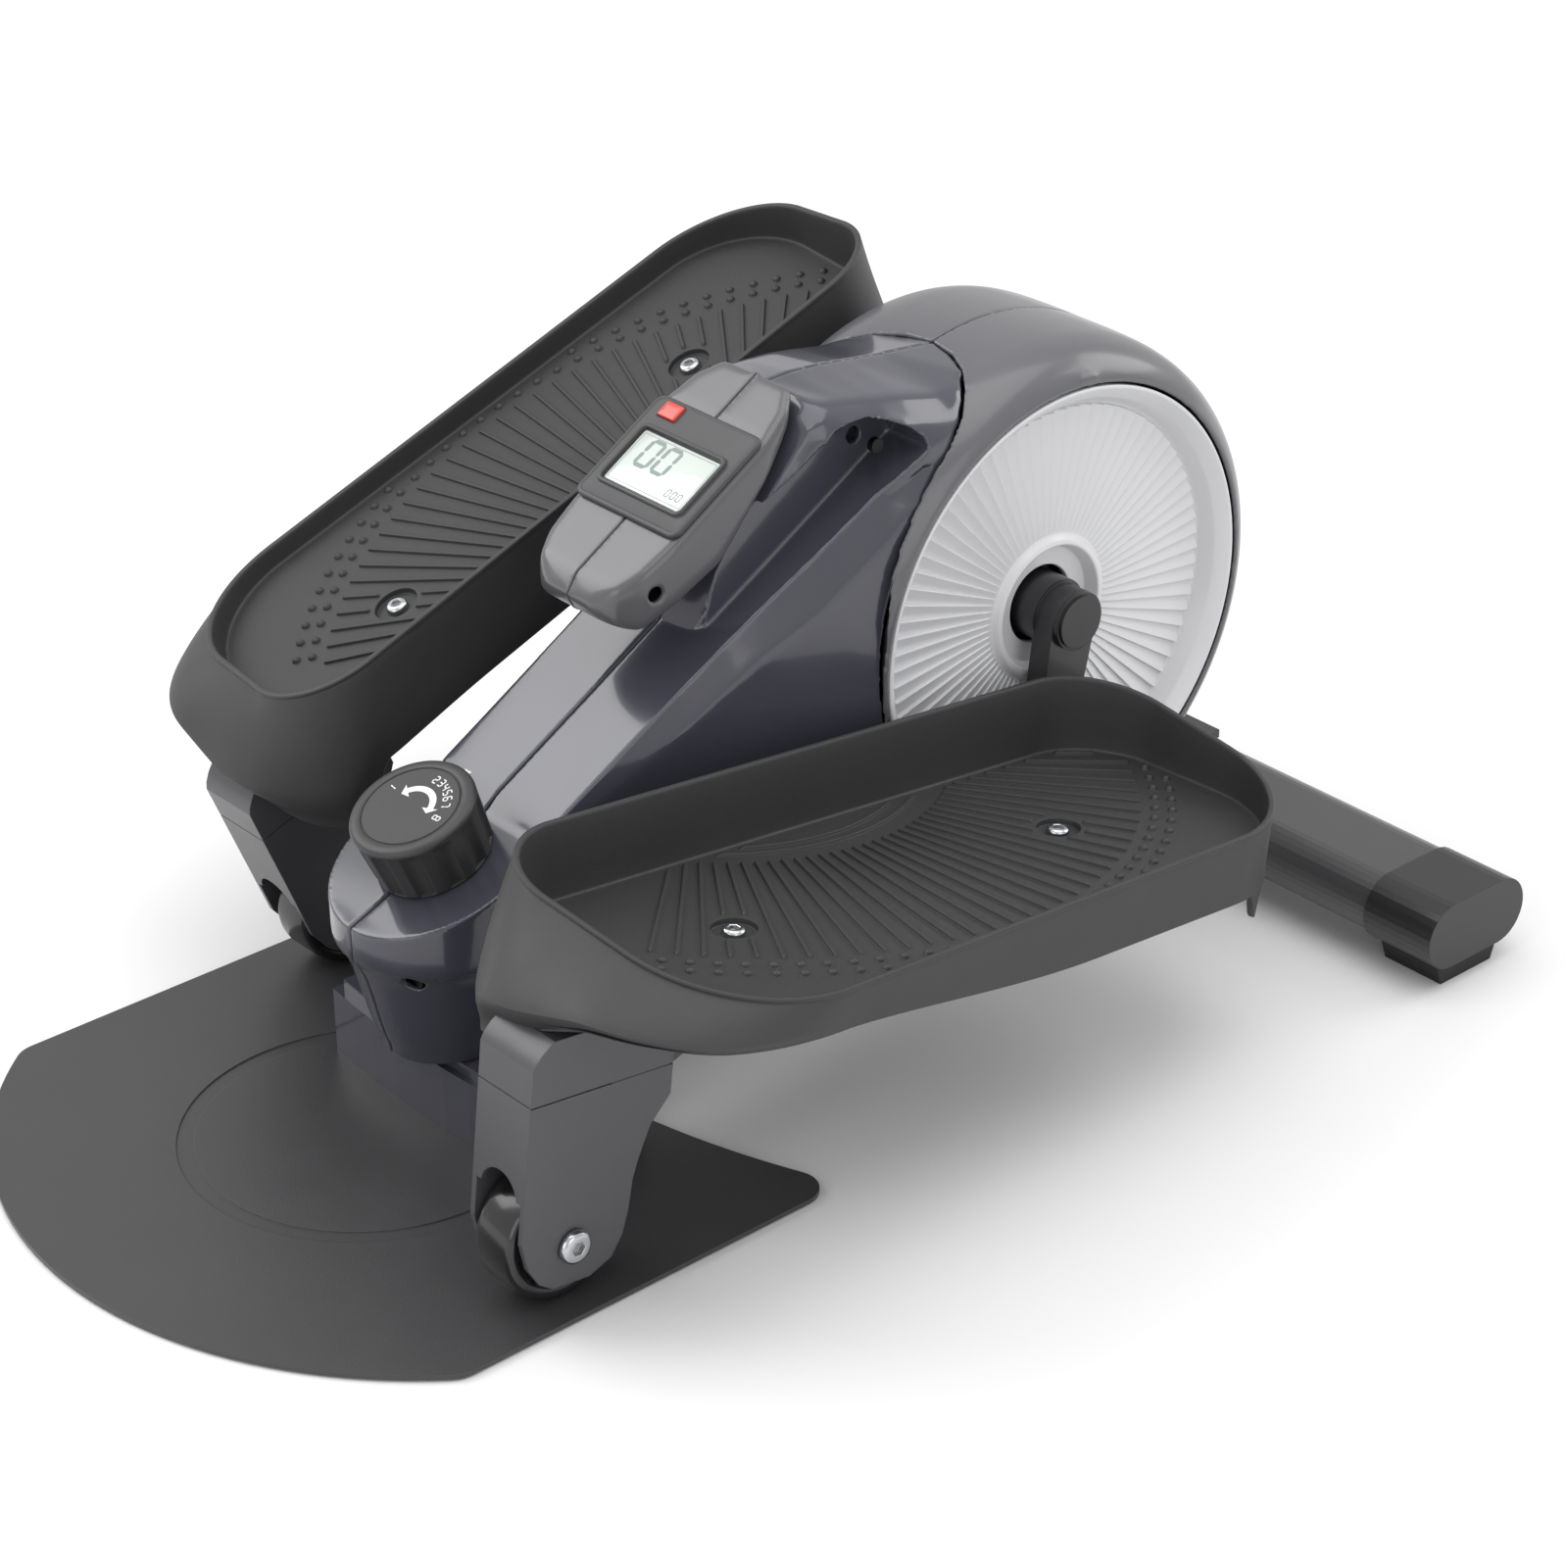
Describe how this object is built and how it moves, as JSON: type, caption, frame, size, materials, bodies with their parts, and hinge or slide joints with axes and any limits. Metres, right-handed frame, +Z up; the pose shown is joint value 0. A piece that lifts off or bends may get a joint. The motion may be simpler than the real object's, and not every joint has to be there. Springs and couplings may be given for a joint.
{
  "type": "under-desk elliptical trainer",
  "caption": "Low under-desk elliptical trainer with two foot trays on cranks, front wheels on a base plate, a fin-covered drive housing, tension knob and tilt display.",
  "frame": {"origin": "centre of the underside, on the floor", "axes": "+Y runs from the base plate to the rear stabilizer, +Z up, +X towards the right foot tray"},
  "size_m": [0.43, 0.6157, 0.2826],
  "materials": {
    "plate_paint": "fine satin charcoal powder coat",
    "bracket_paint": "satin dark grey paint on sheet steel",
    "frame_paint": "satin black paint",
    "tube_paint": "semi-gloss dark grey powder coat",
    "shell_plastic": "gloss blue-grey moulding",
    "dome_plastic": "satin-gloss mid grey moulding",
    "disc_plastic": "silver-white moulding with radial fins",
    "tray_plastic": "matte charcoal moulding with fine grain",
    "black_plastic": "satin black moulding",
    "black_rubber": "matte black rubber",
    "wheel_plastic": "black wheel moulding",
    "zinc_steel": "bright zinc-plated steel",
    "black_steel": "black oxide screws",
    "flywheel_iron": "turned iron",
    "circuit_board": "green solder mask",
    "display": "pale grey-green liquid crystal window",
    "red_button": "glossy red"
  },
  "bodies": {
    "chassis": {"base_plate": "plate_paint", "base_pads": "black_rubber", "foot_shroud": "shell_plastic", "main_frame": "frame_paint", "flange_bolts": "zinc_steel", "stabilizer_tube": "tube_paint", "stabilizer_cap_right": "black_plastic", "stabilizer_cap_left": "black_plastic", "rear_feet": "black_rubber", "stabilizer_bolts": "zinc_steel", "neck_shell_right": "shell_plastic", "neck_shell_left": "shell_plastic", "dome_shell_right": "dome_plastic", "dome_shell_left": "dome_plastic", "disc_cover_right": "disc_plastic", "disc_cover_left": "disc_plastic", "monitor_pod_right": "dome_plastic", "monitor_pod_left": "dome_plastic", "monitor_case": "black_plastic", "monitor_board": "circuit_board", "coin_cell": "zinc_steel", "lcd_window": "display", "housing_screws": "black_steel", "axle_bearings": "zinc_steel", "drive_belt": "black_rubber", "flywheel_bearing": "zinc_steel", "idler_bolt": "zinc_steel", "brake_pivot": "zinc_steel", "brake_spring": "zinc_steel", "brake_cable": "black_plastic", "reed_sensor": "black_plastic", "sensor_lead": "black_plastic"},
    "right_foot": {"foot_tray_right": "tray_plastic", "foot_bar_right": "frame_paint", "wheel_bracket_right": "bracket_paint", "tray_screws_right": "zinc_steel"},
    "right_wheel_axle": {"wheel_bolt_right": "zinc_steel"},
    "right_wheel": {"wheel_right": "wheel_plastic"},
    "left_foot": {"foot_tray_left": "tray_plastic", "foot_bar_left": "frame_paint", "wheel_bracket_left": "bracket_paint", "tray_screws_left": "zinc_steel"},
    "left_wheel_axle": {"wheel_bolt_left": "zinc_steel"},
    "left_wheel": {"wheel_left": "wheel_plastic"},
    "crank": {"crank_axle": "zinc_steel", "crank_pulley": "black_plastic", "crank_arms": "frame_paint", "crank_pins": "zinc_steel", "hub_caps": "black_plastic", "pulley_magnet": "zinc_steel"},
    "flywheel_set": {"flywheel": "flywheel_iron", "flywheel_axle": "zinc_steel", "flywheel_pulley": "zinc_steel"},
    "idler": {"idler_roller": "black_plastic"},
    "brake": {"brake_arm": "frame_paint", "brake_magnets": "zinc_steel"},
    "knob": {"tension_knob": "black_plastic", "knob_shaft": "zinc_steel"},
    "button": {"reset_button": "red_button"}
  },
  "joints": [
    {"name": "crank_turn", "type": "hinge", "parent": "chassis", "child": "crank", "pos_m": [0, 0.178, 0.15], "axis": [1, 0, 0], "range_deg": [-25, 25]},
    {"name": "right_foot_travel", "type": "slide", "parent": "chassis", "child": "right_wheel_axle", "axis": [0, 1, 0], "range_m": [-0.034, 0.034]},
    {"name": "right_foot_tilt", "type": "hinge", "parent": "right_wheel_axle", "child": "right_foot", "pos_m": [0.1305, -0.17107, 0.03], "axis": [1, 0, 0], "range_deg": [-2, 2]},
    {"name": "right_wheel_spin", "type": "hinge", "parent": "right_wheel_axle", "child": "right_wheel", "pos_m": [0.1305, -0.17107, 0.03], "axis": [1, 0, 0], "range_deg": [-75, 75]},
    {"name": "left_foot_travel", "type": "slide", "parent": "chassis", "child": "left_wheel_axle", "axis": [0, 1, 0], "range_m": [-0.034, 0.034]},
    {"name": "left_foot_tilt", "type": "hinge", "parent": "left_wheel_axle", "child": "left_foot", "pos_m": [-0.1305, -0.08085, 0.03], "axis": [1, 0, 0], "range_deg": [-2, 2]},
    {"name": "left_wheel_spin", "type": "hinge", "parent": "left_wheel_axle", "child": "left_wheel", "pos_m": [-0.1305, -0.08085, 0.03], "axis": [1, 0, 0], "range_deg": [-75, 75]},
    {"name": "flywheel_spin", "type": "hinge", "parent": "chassis", "child": "flywheel_set", "pos_m": [0, 0.072, 0.176], "axis": [1, 0, 0], "range_deg": [-170, 170]},
    {"name": "idler_spin", "type": "hinge", "parent": "chassis", "child": "idler", "pos_m": [0.026, 0.0734, 0.134], "axis": [1, 0, 0], "range_deg": [-210, 210]},
    {"name": "tension_turn", "type": "hinge", "parent": "chassis", "child": "knob", "pos_m": [0, -0.1213, 0.1214], "axis": [0, -0.3697, 0.9291], "range_deg": [0, 270]},
    {"name": "brake_swing", "type": "hinge", "parent": "chassis", "child": "brake", "pos_m": [-0.026, 0.03, 0.128], "axis": [1, 0, 0], "range_deg": [-2.5, 0]},
    {"name": "reset_press", "type": "slide", "parent": "chassis", "child": "button", "axis": [0, 0.5225, -0.8526], "range_m": [0, 0.0012], "stiffness_N_per_m": 400, "springref_m": -0.0005}
  ],
  "couplings": [
    {"joint": "right_foot_travel", "follows": "crank_turn", "m_per_rad": 0.07164},
    {"joint": "right_foot_tilt", "follows": "crank_turn", "ratio": -0.042},
    {"joint": "right_wheel_spin", "follows": "crank_turn", "ratio": -2.6731},
    {"joint": "left_foot_travel", "follows": "crank_turn", "m_per_rad": -0.06274},
    {"joint": "left_foot_tilt", "follows": "crank_turn", "ratio": 0.0515},
    {"joint": "left_wheel_spin", "follows": "crank_turn", "ratio": 2.341},
    {"joint": "flywheel_spin", "follows": "crank_turn", "ratio": 6.6667},
    {"joint": "idler_spin", "follows": "crank_turn", "ratio": -8},
    {"joint": "brake_swing", "follows": "tension_turn", "ratio": -0.009}
  ]
}
